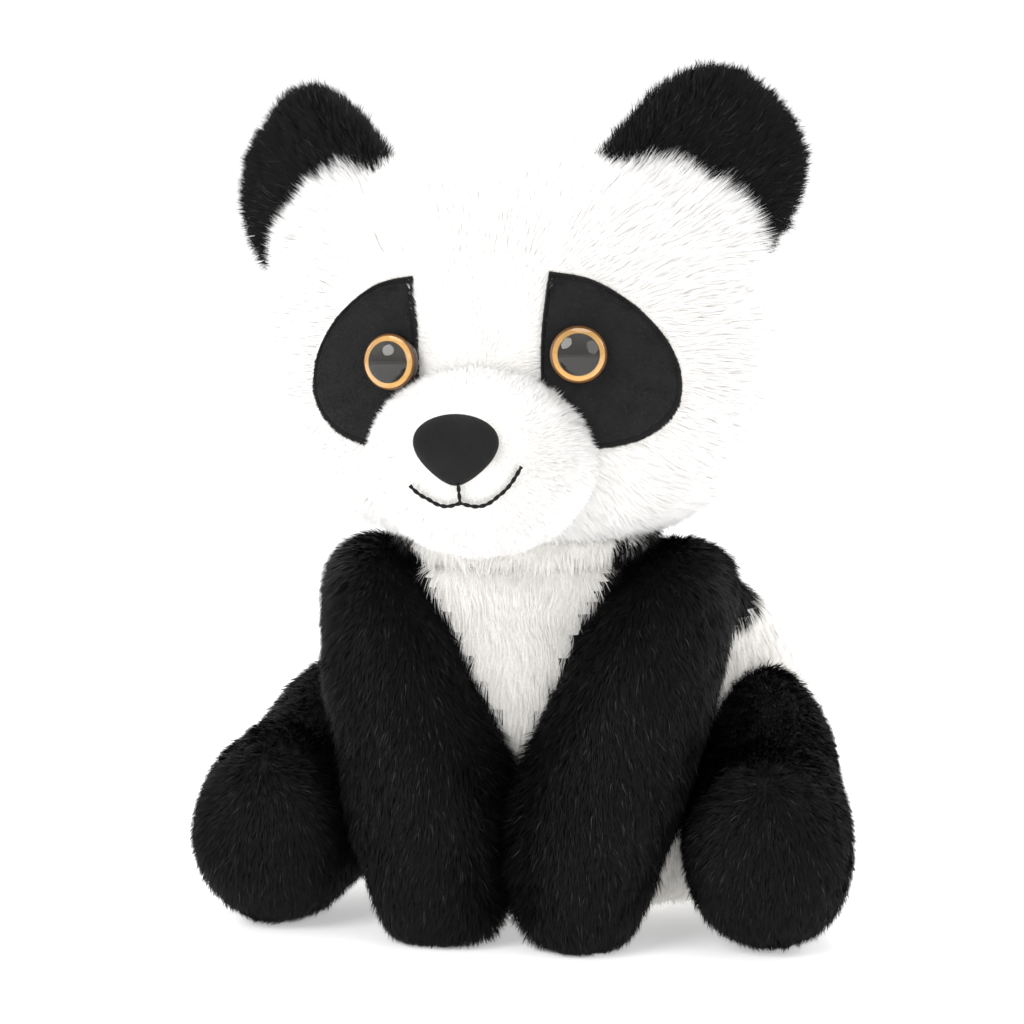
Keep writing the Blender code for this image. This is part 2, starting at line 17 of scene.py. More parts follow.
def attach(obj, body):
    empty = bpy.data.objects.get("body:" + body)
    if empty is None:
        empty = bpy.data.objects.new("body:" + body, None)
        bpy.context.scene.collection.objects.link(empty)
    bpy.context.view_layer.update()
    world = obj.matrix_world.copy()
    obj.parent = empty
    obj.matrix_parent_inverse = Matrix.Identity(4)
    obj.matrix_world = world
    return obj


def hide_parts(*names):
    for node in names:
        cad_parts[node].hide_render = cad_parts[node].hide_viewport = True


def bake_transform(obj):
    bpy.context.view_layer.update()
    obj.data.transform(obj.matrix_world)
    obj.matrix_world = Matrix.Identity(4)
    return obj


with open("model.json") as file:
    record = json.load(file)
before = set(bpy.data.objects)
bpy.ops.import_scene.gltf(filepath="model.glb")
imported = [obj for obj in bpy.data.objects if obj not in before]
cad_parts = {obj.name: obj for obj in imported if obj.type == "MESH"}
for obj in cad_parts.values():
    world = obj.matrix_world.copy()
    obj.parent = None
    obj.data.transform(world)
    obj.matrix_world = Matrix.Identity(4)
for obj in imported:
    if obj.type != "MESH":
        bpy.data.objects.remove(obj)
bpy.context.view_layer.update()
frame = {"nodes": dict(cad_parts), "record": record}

MM = 0.001
SIDES = ((1, "left"), (-1, "right"))
UP = np.array((0.0, 0.0, 1.0))

# Forms of the toy, the same as in its CAD
HEAD_CENTRE = np.array((0, -48, 200)) * MM
HEAD_HALF = np.array((86, 63, 67)) * MM
HEAD_POWER = 2.15
HEAD_RISE_POWER = 2.5
JAW_TAPER = 0.04
CROWN_TAPER = 0.03
NECK_PIVOT = np.array((0, -38, 135)) * MM
MUZZLE_CENTRE = np.array((0, -107, 163)) * MM
MUZZLE_HALF = np.array((34, 35, 28)) * MM
NOSE_CENTRE = np.array((0.4, -141, 168)) * MM
NOSE_HALF = np.array((12.8, 7, 10.8)) * MM
EYE_PLACES = {1: (31 * MM, 196.4 * MM), -1: (-27.2 * MM, 194 * MM)}
EYE_RADIUS = 9 * MM
MOUTH_X = 1.8 * MM
MOUTH_Z = 152 * MM
PUPIL_RADIUS = 5.9 * MM
EYE_SEAT = 2.2 * MM  # the back of the eye, above the face
EYE_FLANGE = 1.4 * MM
EYE_EDGE = EYE_RADIUS - 0.5 * MM  # of the black flange behind the dome
IRIS_EDGE = 7.3 * MM  # where the gold ring meets its brown rim
DOME_RISE = 5.8 * MM
EAR_PLACE = {1: radians(42), -1: radians(46)}
EAR_AHEAD = -0.12
EAR_LEAN = {1: radians(41), -1: radians(45)}
EAR_YAW = radians(26)
EAR_HALF = np.array((28.5, 9, 39)) * MM
EAR_CUP = 7 * MM
EAR_SINK = 5 * MM
TORSO = (
    (0, 24, 0, 0, 0),
    (0, 24, 0, 34, 30),
    (0, 24, 0, 62, 54),
    (0, 24, 16, 82, 68),
    (0, 23, 44, 86, 75),
    (0, 18, 74, 86, 74),
    (0, 4, 98, 79, 64),
    (0, -21, 117, 67, 47),
    (0, -37, 128, 48, 34),
    (0, -40, 131, 0, 0),
)
TORSO_EGG = 0.28
ARM = (
    (25, -70, 0, 0, 0),
    (25, -70, 1, 14, 13),
    (25, -69, 17, 21.5, 22),
    (29, -65, 46, 26.5, 25),
    (37.5, -56, 76, 26.5, 28),
    (46, -44, 104, 23.5, 31),
    (51, -37, 124, 20, 27),
    (51, -35, 138, 0, 0),
)
LEG = (
    (85, -81, 33, 0, 0),
    (85, -76, 33, 21, 23),
    (85, -60, 33, 28, 33),
    (83, -40, 35, 26, 31),
    (76, -20, 47, 26, 36),
    (73, 2, 51, 27, 38),
    (73, 20, 46, 14, 23),
    (73, 27, 45, 0, 0),
)
SOLE_SEAM_Y = -67 * MM
SIDE_SEAM_Y = 4 * MM
YOKE_CORNER = np.array((0, -30, 98)) * MM
YOKE_TILT = radians(22)
TAIL_CENTRE = np.array((0, 99, 36)) * MM
TAIL_HALF = np.array((19, 17, 17)) * MM
# Outline of an eye patch on the face, as (across, up) from its inner top corner
PATCH_OUTLINE = (
    (20, 221.5),
    (33, 219),
    (46, 211),
    (55.5, 200),
    (59.3, 189),
    (58, 179),
    (51, 171.5),
    (41, 167.5),
    (30, 167),
    (20, 172),
    (18, 184),
    (18, 202),
)
PATCH_MIDDLE = np.array((37, 193)) * MM


# ---------------------------------------------------------------- small mathematics
def unit(v):
    return v / np.maximum(np.linalg.norm(v, axis=-1, keepdims=True), 1e-9)


def flat_on(vectors, normals):
    """The part of each vector that lies along the surface, as a unit vector."""
    out = vectors - normals * np.sum(vectors * normals, axis=1, keepdims=True)
    return unit(out)


def drift(points, size, seed):
    """Smooth random vectors that change over about this distance."""
    rng = np.random.default_rng(seed)
    total = np.zeros_like(points)
    for _ in range(7):
        wave = rng.normal(size=3) * 3.6 / size
        phase = rng.uniform(0, 2 * pi)
        aim = unit(rng.normal(size=3))
        total += np.outer(np.sin(points @ wave + phase), aim)
    return total / 2.0


def ease(x, low, high):
    t = np.clip((x - low) / (high - low), 0, 1)
    return t * t * (3 - 2 * t)


# ---------------------------------------------------------------- forms
def head_width(height):
    taper = np.where(height < 0, JAW_TAPER, CROWN_TAPER)
    return 1 - taper * height * height


def head_form(d):
    flat = (abs(d[:, 0]) ** HEAD_POWER + abs(d[:, 1]) ** HEAD_POWER) ** (1 / HEAD_POWER)
    size = flat**HEAD_RISE_POWER + abs(d[:, 2]) ** HEAD_RISE_POWER
    p = d * (size ** (-1 / HEAD_RISE_POWER))[:, None]
    p[:, 0] *= head_width(p[:, 2])
    return HEAD_CENTRE + p * HEAD_HALF


def face_point(x, z):
    """The points of the face in front of (x, z)."""
    height = (z - HEAD_CENTRE[2]) / HEAD_HALF[2]
    across = abs(x) / (HEAD_HALF[0] * head_width(height))
    level = (1 - abs(height) ** HEAD_RISE_POWER) ** (1 / HEAD_RISE_POWER)
    room = np.maximum(level**HEAD_POWER - across**HEAD_POWER, 0)
    y = HEAD_CENTRE[1] - HEAD_HALF[1] * room ** (1 / HEAD_POWER)
    return np.stack((x, y, z), axis=-1)


def face_normal(x, z):
    step = 1 * MM
    right = face_point(x + step, z) - face_point(x - step, z)
    rise = face_point(x, z + step) - face_point(x, z - step)
    return unit(np.cross(right, rise))


def round_form(centre, half):
    return lambda d: centre + d * half


def nose_form(d):
    taper = 1 + 0.30 * d[:, 2] - 0.12 * d[:, 2] ** 2
    p = d * NOSE_HALF
    p[:, 0] *= taper
    return NOSE_CENTRE + p


def muzzle_front(x, z):
    room = 1 - (x / MUZZLE_HALF[0]) ** 2 - ((z - MUZZLE_CENTRE[2]) / MUZZLE_HALF[2]) ** 2
    return MUZZLE_CENTRE[1] - MUZZLE_HALF[1] * np.sqrt(np.maximum(room, 0))


def ear_frame(side):
    """The ear's own directions: along its seam, towards its back, and up its middle."""
    turn = Matrix.Rotation(side * EAR_LEAN[side], 3, "Y")
    turn = Matrix.Rotation(side * EAR_YAW, 3, "Z") @ turn
    return [np.array(column) for column in turn.col]


def ear_root(side):
    place = EAR_PLACE[side]
    d = np.array(((side * sin(place), EAR_AHEAD, cos(place)),))
    return head_form(d)[0]


def ear_form(side):
    along, back, rise = ear_frame(side)
    root = ear_root(side)

    def shape(d):
        power = 2.4
        q = d * (np.sum(abs(d) ** power, axis=1) ** (-1 / power))[:, None]
        cup = -EAR_CUP * q[:, 0] ** 2
        return (
            root
            + np.outer(q[:, 0] * EAR_HALF[0], along)
            + np.outer(q[:, 2] * EAR_HALF[2] - EAR_SINK, rise)
            + np.outer(q[:, 1] * EAR_HALF[1] + cup, back)
        )

    return shape


# ---------------------------------------------------------------- meshes
def globe(around, rings):
    """Unit directions and faces of a sphere that the forms are shaped from."""
    bm = bmesh.new()
    bmesh.ops.create_uvsphere(bm, u_segments=around, v_segments=rings, radius=1)
    d = np.array([v.co for v in bm.verts])
    faces = [[v.index for v in f.verts] for f in bm.faces]
    bm.free()
    return d, faces


def closed_form(name, shape, around=96, rings=64):
    d, faces = globe(around, rings)
    mesh = bpy.data.meshes.new(name)
    mesh.from_pydata(shape(d).tolist(), [], faces)
    mesh.update()
    return mesh


def ring_form(name, stations, side=1, along="Z", around=8, egg=0.0):
    """A soft form through rings of (x, y, z, half width, half depth)."""
    last = len(stations) - 1
    shrink = 3 / (2 + cos(2 * pi / around))
    d, faces = globe(around, last)
    ring = np.rint(np.arccos(np.clip(d[:, 2], -1, 1)) / pi * last).astype(int)
    x, y, z, width, depth = (np.array(stations)[ring] * MM).T
    turn = np.arctan2(d[:, 1], d[:, 0])
    out = shrink * width * np.cos(turn) * (1 + egg * np.sin(turn))
    rise = shrink * depth * np.sin(turn)
    if along == "Z":
        points = np.stack((side * (x + out), y + rise, z), axis=1)
    else:
        points = np.stack((side * (x + out), y, z + rise), axis=1)
    if (side < 0) != (along == "Y"):
        faces = [f[::-1] for f in faces]
    cage = bpy.data.meshes.new(name)
    cage.from_pydata(points.tolist(), [], faces)
    holder = bpy.data.objects.new(name, cage)
    bpy.context.scene.collection.objects.link(holder)
    soft = holder.modifiers.new("Soft", "SUBSURF")
    soft.levels = soft.render_levels = 3
    graph = bpy.context.evaluated_depsgraph_get()
    mesh = bpy.data.meshes.new_from_object(holder.evaluated_get(graph))
    bpy.data.objects.remove(holder, do_unlink=True)
    bpy.data.meshes.remove(cage)
    face_out(mesh)
    return mesh


def face_out(mesh):
    """Turns the faces of a closed form outwards."""
    bm = bmesh.new()
    bm.from_mesh(mesh)
    if bm.calc_volume(signed=True) < 0:
        bmesh.ops.reverse_faces(bm, faces=bm.faces)
    bm.to_mesh(mesh)
    bm.free()


def places(mesh):
    co = np.zeros(len(mesh.vertices) * 3)
    mesh.vertices.foreach_get("co", co)
    return co.reshape(-1, 3)


def normals(mesh):
    n = np.zeros(len(mesh.vertices) * 3)
    mesh.vertex_normals.foreach_get("vector", n)
    return n.reshape(-1, 3)


def move_to(mesh, points):
    points[:, 2] = np.maximum(points[:, 2], 0.0)
    mesh.vertices.foreach_set("co", points.ravel())
    mesh.update()


def lumpy(mesh, height, size, seed):
    """Uneven stuffing under the cloth."""
    points, out = places(mesh), normals(mesh)
    swell = drift(points, size, seed)[:, 0] * height
    move_to(mesh, points + out * swell[:, None])


def add(name, mesh, body, *materials):
    mesh.name = name
    mesh.materials.clear()
    for material in materials:
        mesh.materials.append(material)
    piece = bpy.data.objects.new(name, mesh)
    bpy.context.scene.collection.objects.link(piece)
    if body:
        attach(piece, body)
    return piece


def turned(name, profile, place, aim, body, material, around=64):
    """A piece turned round a line, from an outline of (radius, height)."""
    spin = Vector((0, 0, 1)).rotation_difference(Vector(aim)).to_matrix()
    turn = np.arange(around) * 2 * pi / around
    bm = bmesh.new()
    rows = []
    for radius, height in profile:
        if radius <= 0:
            rows.append([bm.verts.new(Vector(place) + spin @ Vector((0, 0, height)))])
            continue
        row = []
        for a in turn:
            spot = Vector((radius * cos(a), radius * sin(a), height))
            row.append(bm.verts.new(Vector(place) + spin @ spot))
        rows.append(row)
    pairs = list(zip(rows, rows[1:]))
    if profile[0][0] > 0:
        pairs.append((rows[-1], rows[0]))
    for low, high in pairs:
        for k in range(around):
            m = (k + 1) % around
            corners = [low[k % len(low)], low[m % len(low)]]
            corners += [high[m % len(high)], high[k % len(high)]]
            bm.faces.new(list(dict.fromkeys(corners)))
    mesh = bpy.data.meshes.new(name)
    bm.to_mesh(mesh)
    bm.free()
    face_out(mesh)
    piece = add(name, mesh, body, material)
    mesh.set_sharp_from_angle(angle=radians(50))
    return piece


# ---------------------------------------------------------------- pile
ROOT_DEPTH = 0.6 * MM  # how far a fibre starts below the skin
FLOOR_GAP = 0.2 * MM  # the lowest that a fibre lies


def scatter(mesh, count, rng):
    """Places spread evenly over a mesh, with the smooth normal at each."""
    mesh.calc_loop_triangles()
    corners = np.zeros(len(mesh.loop_triangles) * 3, dtype=np.int32)
    mesh.loop_triangles.foreach_get("vertices", corners)
    corners = corners.reshape(-1, 3)
    co, out = places(mesh), normals(mesh)
    a, b, c = (co[corners[:, k]] for k in range(3))
    area = np.linalg.norm(np.cross(b - a, c - a), axis=1)
    total = np.cumsum(area)
    pick = np.searchsorted(total, rng.uniform(0, total[-1], count))
    u, v = rng.uniform(size=(2, count))
    over = u + v > 1
    u[over], v[over] = 1 - u[over], 1 - v[over]
    share = np.stack((1 - u - v, u, v), axis=1)[:, :, None]
    spots = np.sum(co[corners[pick]] * share, axis=1)
    return spots, unit(np.sum(out[corners[pick]] * share, axis=1))


def inside(points, tree, depth=0.0):
    """Which points lie inside a closed form, at least this deep."""
    found = np.zeros(len(points), dtype=bool)
    for k, p in enumerate(points):
        near, out, _, _ = tree.find_nearest(p)
        found[k] = (Vector(p) - near).dot(out) < -depth
    return found


def pile(
    name,
    mesh,
    body,
    material,
    count,
    length,
    flow,
    lift=0.5,
    width=0.42 * MM,
    keep=None,
    under=(),
    tuft=0.35,
    tuft_size=14,
    stray=0.16,
    wave=0.25,
    wave_size=22 * MM,
    bend=0.35,
    soft=0.7,
    seed=1,
):
    """Fibres that stand on a skin, each a narrow tapered blade with one bend.

    flow gives the way the pile is brushed, lift how upright it stands (1 is straight
    out), length may be a number or a function of the places, and keep drops places.
    """
    rng = np.random.default_rng(seed)
    p, n = scatter(mesh, count, rng)
    if keep is not None:
        stay = keep(p, n)
        p, n = p[stay], n[stay]
    for tree in under:
        stay = ~inside(p, tree, 1.0 * MM)
        p, n = p[stay], n[stay]
    amount = len(p)
    reach = length(p) if callable(length) else np.full(amount, length)
    reach = reach * rng.uniform(0.72, 1.12, amount) * (1 + 0.12 * drift(p, 9 * MM, seed + 5)[:, 0])
    brushed = flat_on(flow(p, n), n)
    broad, fine = drift(p, wave_size, seed + 1), drift(p, wave_size / 4, seed + 2)
    brushed = flat_on(brushed + wave * broad + 0.5 * wave * fine, n)
    upright = lift(p) if callable(lift) else np.full(amount, lift)
    upright = np.clip(upright * rng.uniform(0.75, 1.25, amount), 0.06, 1)[:, None]
    aim = unit(n * upright + brushed * (1 - upright) + rng.normal(size=(amount, 3)) * stray)
    tip_aim = unit(aim + brushed * bend + rng.normal(size=(amount, 3)) * stray * 0.7)
    start = p - n * ROOT_DEPTH
    middle = start + aim * (reach * 0.5)[:, None]
    tip = middle + tip_aim * (reach * 0.5)[:, None]

    leaders = rng.choice(amount, max(8, amount // tuft_size), replace=False)
    finder = kdtree.KDTree(len(leaders))
    for k, leader in enumerate(leaders):
        finder.insert(p[leader], k)
    finder.balance()
    own = leaders[[finder.find(q)[1] for q in p]]
    pull = (tuft * rng.uniform(0.4, 1.2, amount))[:, None]
    tip = tip + (tip[own] - tip) * pull
    middle = middle + (middle[own] - middle) * pull * 0.35

    roll = rng.normal(size=amount) * 0.35
    across = unit(np.cross(aim, n + rng.normal(size=(amount, 3)) * 0.02))
    flat_out = unit(np.cross(across, aim))
    across = across * np.cos(roll)[:, None] + flat_out * np.sin(roll)[:, None]
    blade_out = unit(np.cross(across, aim))
    blade_out *= np.where(np.sum(blade_out * n, axis=1) < 0, -1, 1)[:, None]
    half = across * (width * rng.uniform(0.35, 0.65, amount))[:, None]
    co = np.stack((start - half, start + half, middle - half, middle + half, tip), axis=1)
    co[:, :, 2] = np.maximum(co[:, :, 2], FLOOR_GAP)
    shine = unit(n * soft + blade_out * (1 - soft) + rng.normal(size=(amount, 3)) * 0.05)
    shine = np.repeat(shine, 5, axis=0)

    turn = np.sum(np.cross(half, aim) * n, axis=1) < 0
    base = np.arange(amount, dtype=np.int32)[:, None] * 5
    quad = np.where(turn[:, None], base + (1, 0, 2, 3), base + (0, 1, 3, 2))
    peak = np.where(turn[:, None], base + (3, 2, 4), base + (2, 3, 4))
    corners = np.concatenate((quad, peak), axis=1).astype(np.int32).ravel()
    starts = np.arange(amount, dtype=np.int32)[:, None] * 7 + (0, 4)
    blades = bpy.data.meshes.new(name)
    blades.vertices.add(amount * 5)
    blades.vertices.foreach_set("co", co.ravel().astype(np.float32))
    blades.loops.add(amount * 7)
    blades.loops.foreach_set("vertex_index", corners)
    blades.polygons.add(amount * 2)
    blades.polygons.foreach_set("loop_start", starts.astype(np.int32).ravel())
    blades.update(calc_edges=True)
    blades.normals_split_custom_set_from_vertices(shine.astype(np.float32))
    store(blades, "tone", np.tile((0.0, 0.0, 0.55, 0.55, 1.0), amount))
    store(blades, "shade", np.repeat(rng.uniform(size=amount), 5))
    piece = add(name, blades, body, material)
    COUNTS[name] = amount
    return piece


def store(mesh, name, values):
    layer = mesh.attributes.new(name, "FLOAT", "POINT")
    layer.data.foreach_set("value", values.astype(np.float32))


def tree_of(mesh):
    return BVHTree.FromPolygons(
        [v.co for v in mesh.vertices], [tuple(f.vertices) for f in mesh.polygons]
    )


COUNTS = {}


# ---------------------------------------------------------------- node groups
def new_group(name, inputs, outputs):
    group = bpy.data.node_groups.new(name, "ShaderNodeTree")
    for label, kind, value in inputs:
        socket = group.interface.new_socket(label, in_out="INPUT", socket_type=kind)
        socket.default_value = value
    for label, kind in outputs:
        group.interface.new_socket(label, in_out="OUTPUT", socket_type=kind)
    enter = group.nodes.new("NodeGroupInput")
    leave = group.nodes.new("NodeGroupOutput")
    return group, enter, leave


def mixed(nodes, links, kind, factor, a, b):
    node = nodes.new("ShaderNodeMix")
    node.data_type = "RGBA"
    node.blend_type = kind
    for socket, value in ((node.inputs[0], factor), (node.inputs[6], a), (node.inputs[7], b)):
        if isinstance(value, (int, float)):
            socket.default_value = value
        elif isinstance(value, tuple):
            socket.default_value = (*value, 1)
        else:
            links.new(value, socket)
    return node.outputs[2]


def fibre_group():
    """Colour of a fibre: from its root to its tip, from fibre to fibre, with a painted glint on a share of
    the fibres.
    """
    group, enter, leave = new_group(
        "Fibre",
        (
            ("Root", "NodeSocketColor", (0.5, 0.5, 0.5, 1)),
            ("Tip", "NodeSocketColor", (0.5, 0.5, 0.5, 1)),
            ("Bright", "NodeSocketColor", (0.5, 0.5, 0.5, 1)),
            ("Share", "NodeSocketFloat", 0.05),
            ("Uneven", "NodeSocketFloat", 0.1),
        ),
        (("Colour", "NodeSocketColor"), ("Roughness", "NodeSocketFloat")),
    )
    nodes, links = group.nodes, group.links
    tone, shade = nodes.new("ShaderNodeAttribute"), nodes.new("ShaderNodeAttribute")
    tone.attribute_name, shade.attribute_name = "tone", "shade"
    body = mixed(nodes, links, "MIX", tone.outputs["Fac"], enter.outputs[0], enter.outputs[1])
    spread = nodes.new("ShaderNodeMapRange")
    links.new(shade.outputs["Fac"], spread.inputs[0])
    low = nodes.new("ShaderNodeMath")
    low.operation = "SUBTRACT"
    low.inputs[0].default_value = 1.0
    links.new(enter.outputs[4], low.inputs[1])
    links.new(low.outputs[0], spread.inputs[3])
    spread.inputs[4].default_value = 1.0
    scaled = nodes.new("ShaderNodeVectorMath")
    scaled.operation = "SCALE"
    links.new(body, scaled.inputs[0])
    links.new(spread.outputs[0], scaled.inputs[3])
    # A share of the fibres takes the painted glint colour in place of their own
    rare = nodes.new("ShaderNodeMath")
    rare.operation = "LESS_THAN"
    links.new(shade.outputs["Fac"], rare.inputs[0])
    links.new(enter.outputs[3], rare.inputs[1])
    final = mixed(nodes, links, "MIX", rare.outputs[0], scaled.outputs[0], enter.outputs[2])
    rough = nodes.new("ShaderNodeMapRange")
    links.new(tone.outputs["Fac"], rough.inputs[0])
    rough.inputs[3].default_value = 0.85
    rough.inputs[4].default_value = 0.5
    links.new(final, leave.inputs[0])
    links.new(rough.outputs[0], leave.inputs[1])
    return group


def cloth_group():
    """Backing cloth: a knit with slubs, as colour, roughness and height."""
    group, enter, leave = new_group(
        "Cloth",
        (
            ("Colour", "NodeSocketColor", (0.5, 0.5, 0.5, 1)),
            ("Scale", "NodeSocketFloat", 900.0),
            ("Depth", "NodeSocketFloat", 0.25),
        ),
        (
            ("Colour", "NodeSocketColor"),
            ("Roughness", "NodeSocketFloat"),
            ("Height", "NodeSocketFloat"),
        ),
    )
    nodes, links = group.nodes, group.links
    where = nodes.new("ShaderNodeTexCoord")
    knit, slub = nodes.new("ShaderNodeTexVoronoi"), nodes.new("ShaderNodeTexNoise")
    for texture in (knit, slub):
        links.new(where.outputs["Object"], texture.inputs["Vector"])
    links.new(enter.outputs[1], knit.inputs["Scale"])
    slub.inputs["Scale"].default_value = 160
    slub.inputs["Detail"].default_value = 6
    shade = nodes.new("ShaderNodeMapRange")
    links.new(slub.outputs["Fac"], shade.inputs[0])
    low = nodes.new("ShaderNodeMath")
    low.operation = "SUBTRACT"
    low.inputs[0].default_value = 1.0
    links.new(enter.outputs[2], low.inputs[1])
    links.new(low.outputs[0], shade.inputs[3])
    shade.inputs[4].default_value = 1.0
    scaled = nodes.new("ShaderNodeVectorMath")
    scaled.operation = "SCALE"
    links.new(enter.outputs[0], scaled.inputs[0])
    links.new(shade.outputs[0], scaled.inputs[3])
    rough = nodes.new("ShaderNodeMapRange")
    links.new(slub.outputs["Fac"], rough.inputs[0])
    rough.inputs[3].default_value = 0.75
    rough.inputs[4].default_value = 1.0
    links.new(scaled.outputs[0], leave.inputs[0])
    links.new(rough.outputs[0], leave.inputs[1])
    links.new(knit.outputs["Distance"], leave.inputs[2])
    return group


def principled(name, **values):
    material = bpy.data.materials.new(name)
    material.use_nodes = True
    shader = material.node_tree.nodes["Principled BSDF"]
    for label, value in values.items():
        shader.inputs[label.replace("_", " ")].default_value = value
    return material, shader


def place_group(material, group, **values):
    node = material.node_tree.nodes.new("ShaderNodeGroup")
    node.node_tree = group
    for label, value in values.items():
        if isinstance(value, tuple):
            value = (*value, 1)
        node.inputs[label].default_value = value
    return node


def fibre_material(name, root, tip, bright, share, uneven, sheen=0.0, specular=0.5, solid=1.0):
    """Pile whose blades are lit on whichever side is seen, since a fibre has no back."""
    material, shader = principled(
        name, Sheen_Weight=sheen, Sheen_Roughness=0.4, Specular_IOR_Level=specular, Alpha=solid
    )
    node = place_group(
        material, FIBRE, Root=root, Tip=tip, Bright=bright, Share=share, Uneven=uneven
    )
    nodes, links = material.node_tree.nodes, material.node_tree.links
    links.new(node.outputs["Colour"], shader.inputs["Base Color"])
    links.new(node.outputs["Roughness"], shader.inputs["Roughness"])
    geometry = nodes.new("ShaderNodeNewGeometry")
    facing = nodes.new("ShaderNodeMix")
    facing.data_type = "VECTOR"
    links.new(geometry.outputs["Backfacing"], facing.inputs[0])
    links.new(geometry.outputs["Normal"], facing.inputs[4])
    links.new(geometry.outputs["True Normal"], facing.inputs[5])
    links.new(facing.outputs[1], shader.inputs["Normal"])
    return material


def cloth_material(name, colour, scale=900.0, depth=0.25, sheen=0.0, bump=0.3):
    material, shader = principled(name, Sheen_Weight=sheen, Specular_IOR_Level=0.3)
    node = place_group(material, CLOTH, Colour=colour, Scale=scale, Depth=depth)
    links = material.node_tree.links
    relief = material.node_tree.nodes.new("ShaderNodeBump")
    relief.inputs["Strength"].default_value = bump
    relief.inputs["Distance"].default_value = 0.3 * MM
    links.new(node.outputs["Height"], relief.inputs["Height"])
    links.new(relief.outputs["Normal"], shader.inputs["Normal"])
    links.new(node.outputs["Colour"], shader.inputs["Base Color"])
    links.new(node.outputs["Roughness"], shader.inputs["Roughness"])
    return material


FIBRE = fibre_group()
CLOTH = cloth_group()
# Root and tip colours run along each fibre, darker at the root; the third colour is a painted glint on a
# share of the fibres; solid is how little light passes it
white_pile = fibre_material(
    "white_pile",
    root=(0.90, 0.885, 0.865),
    tip=(0.95, 0.943, 0.932),
    bright=(0.96, 0.955, 0.95),
    share=0.1,
    uneven=0.03,
    sheen=0.15,
    specular=0.25,
    solid=0.6,
)
bib_pile = fibre_material(
    "bib_pile",
    root=(0.86, 0.83, 0.79),
    tip=(0.945, 0.93, 0.905),
    bright=(0.95, 0.94, 0.92),
    share=0.1,
    uneven=0.05,
    sheen=0.15,
    specular=0.25,
    solid=0.6,
)
black_pile = fibre_material(
    "black_pile",
    root=(0.002, 0.002, 0.002),
    tip=(0.007, 0.0068, 0.0072),
    bright=(0.03, 0.029, 0.031),
    share=0.03,
    uneven=0.6,
    specular=0.12,
)
velboa_pile = fibre_material(
    "velboa_pile",
    root=(0.004, 0.004, 0.0045),
    tip=(0.011, 0.011, 0.0125),
    bright=(0.035, 0.035, 0.04),
    share=0.05,
    uneven=0.5,
    sheen=0.04,
    specular=0.14,
)
velour_pile = fibre_material(
    "velour_pile",
    root=(0.003, 0.003, 0.003),
    tip=(0.008, 0.008, 0.0085),
    bright=(0.02, 0.02, 0.02),
    share=0.05,
    uneven=0.4,
    sheen=0.03,
    specular=0.12,
)
white_cloth = cloth_material("white_cloth", (0.86, 0.84, 0.81))
black_cloth = cloth_material("black_cloth", (0.004, 0.004, 0.004))
velboa_cloth = cloth_material("velboa_cloth", (0.006, 0.006, 0.0065), 1400, 0.4, 0.04)
velour_cloth = cloth_material("velour_cloth", (0.005, 0.005, 0.005), 1600, 0.4)
fibre_fill = cloth_material("fibre_fill", (0.85, 0.86, 0.87), 300)
bag_cloth = cloth_material("bag_cloth", (0.70, 0.68, 0.62), 1200)
black_thread = cloth_material("black_thread", (0.006, 0.006, 0.0065), 2200, 0.4)
white_thread = cloth_material("white_thread", (0.88, 0.86, 0.83), 2200)


# ---------------------------------------------------------------- head
def patch_line(samples=16):
    """The closed outline of an eye patch, smooth but for its inner top corner."""
    marks = np.array(PATCH_OUTLINE) * MM
    marks = np.vstack((marks, marks[:1]))
    line = []
    for k in range(len(marks) - 1):
        a = marks[k - 1] if k else marks[0]
        b, c = marks[k], marks[k + 1]
        d = marks[k + 2] if k + 2 < len(marks) else marks[-1]
        for t in np.arange(samples) / samples:
            step = 2 * b + (c - a) * t + (2 * a - 5 * b + 4 * c - d) * t * t
            line.append((step + (3 * b - a - 3 * c + d) * t**3) / 2)
    return np.array(line)


# The two patches do not match: one is sewn a little out, the other is narrower
PATCH_LINES = {
    1: patch_line() + (1.8 * MM, 0.6 * MM),
    -1: (patch_line() - PATCH_MIDDLE) * (0.91, 0.98) + PATCH_MIDDLE,
}


def in_patch(p, grow=1.0):
    """Which places on the face lie under an eye patch."""
    found = np.zeros(len(p), dtype=bool)
    for side, _ in SIDES:
        rel = np.stack((side * p[:, 0], p[:, 2]), axis=1) - PATCH_MIDDLE
        edge = PATCH_LINES[side] - PATCH_MIDDLE
        bearing = np.arctan2(edge[:, 1], edge[:, 0])
        order = np.argsort(bearing)
        radius = np.linalg.norm(edge, axis=1)
        turn = np.arctan2(rel[:, 1], rel[:, 0])
        limit = np.interp(turn, bearing[order], radius[order], period=2 * pi)
        found |= (np.linalg.norm(rel, axis=1) < limit * grow) & (p[:, 1] < HEAD_CENTRE[1])
    return found


def in_round(p, centre, half, grow=1.0):
    return np.sum(((p - centre) / (half * grow)) ** 2, axis=1) < 1


def head_flow(p, n):
    """Brushed away from the bridge of the nose, and down towards the jaw."""
    away = unit(p - np.array((0, -118, 182)) * MM)
    return away + np.outer(np.full(len(p), -0.25), UP)


def head_length(p):
    """Short round the eyes and the nose, long on the cheeks and behind."""
    far = np.linalg.norm(p - np.array((0, -115, 185)) * MM, axis=1)
    seam = np.exp(-(((abs(p[:, 0]) - 21 * MM) / (2.2 * MM)) ** 2))
    seam *= ease(p[:, 2], 214 * MM, 222 * MM) * (1 - ease(p[:, 2], 228 * MM, 250 * MM))
    seam *= p[:, 1] < HEAD_CENTRE[1]
    reach = 4.2 * MM + 3.8 * MM * ease(far, 18 * MM, 75 * MM) + 2.5 * MM * near_ears(p)
    return reach * (1 - 0.45 * seam)


def near_ears(p):
    """1 at the seams of the ears, falling to 0 a little way off."""
    gaps = [np.linalg.norm(p - ear_root(side), axis=1) for side, _ in SIDES]
    return 1 - ease(np.minimum(*gaps), 22 * MM, 38 * MM)


def head_lift(p):
    return 0.34 + 0.4 * near_ears(p) * (p[:, 1] < HEAD_CENTRE[1])


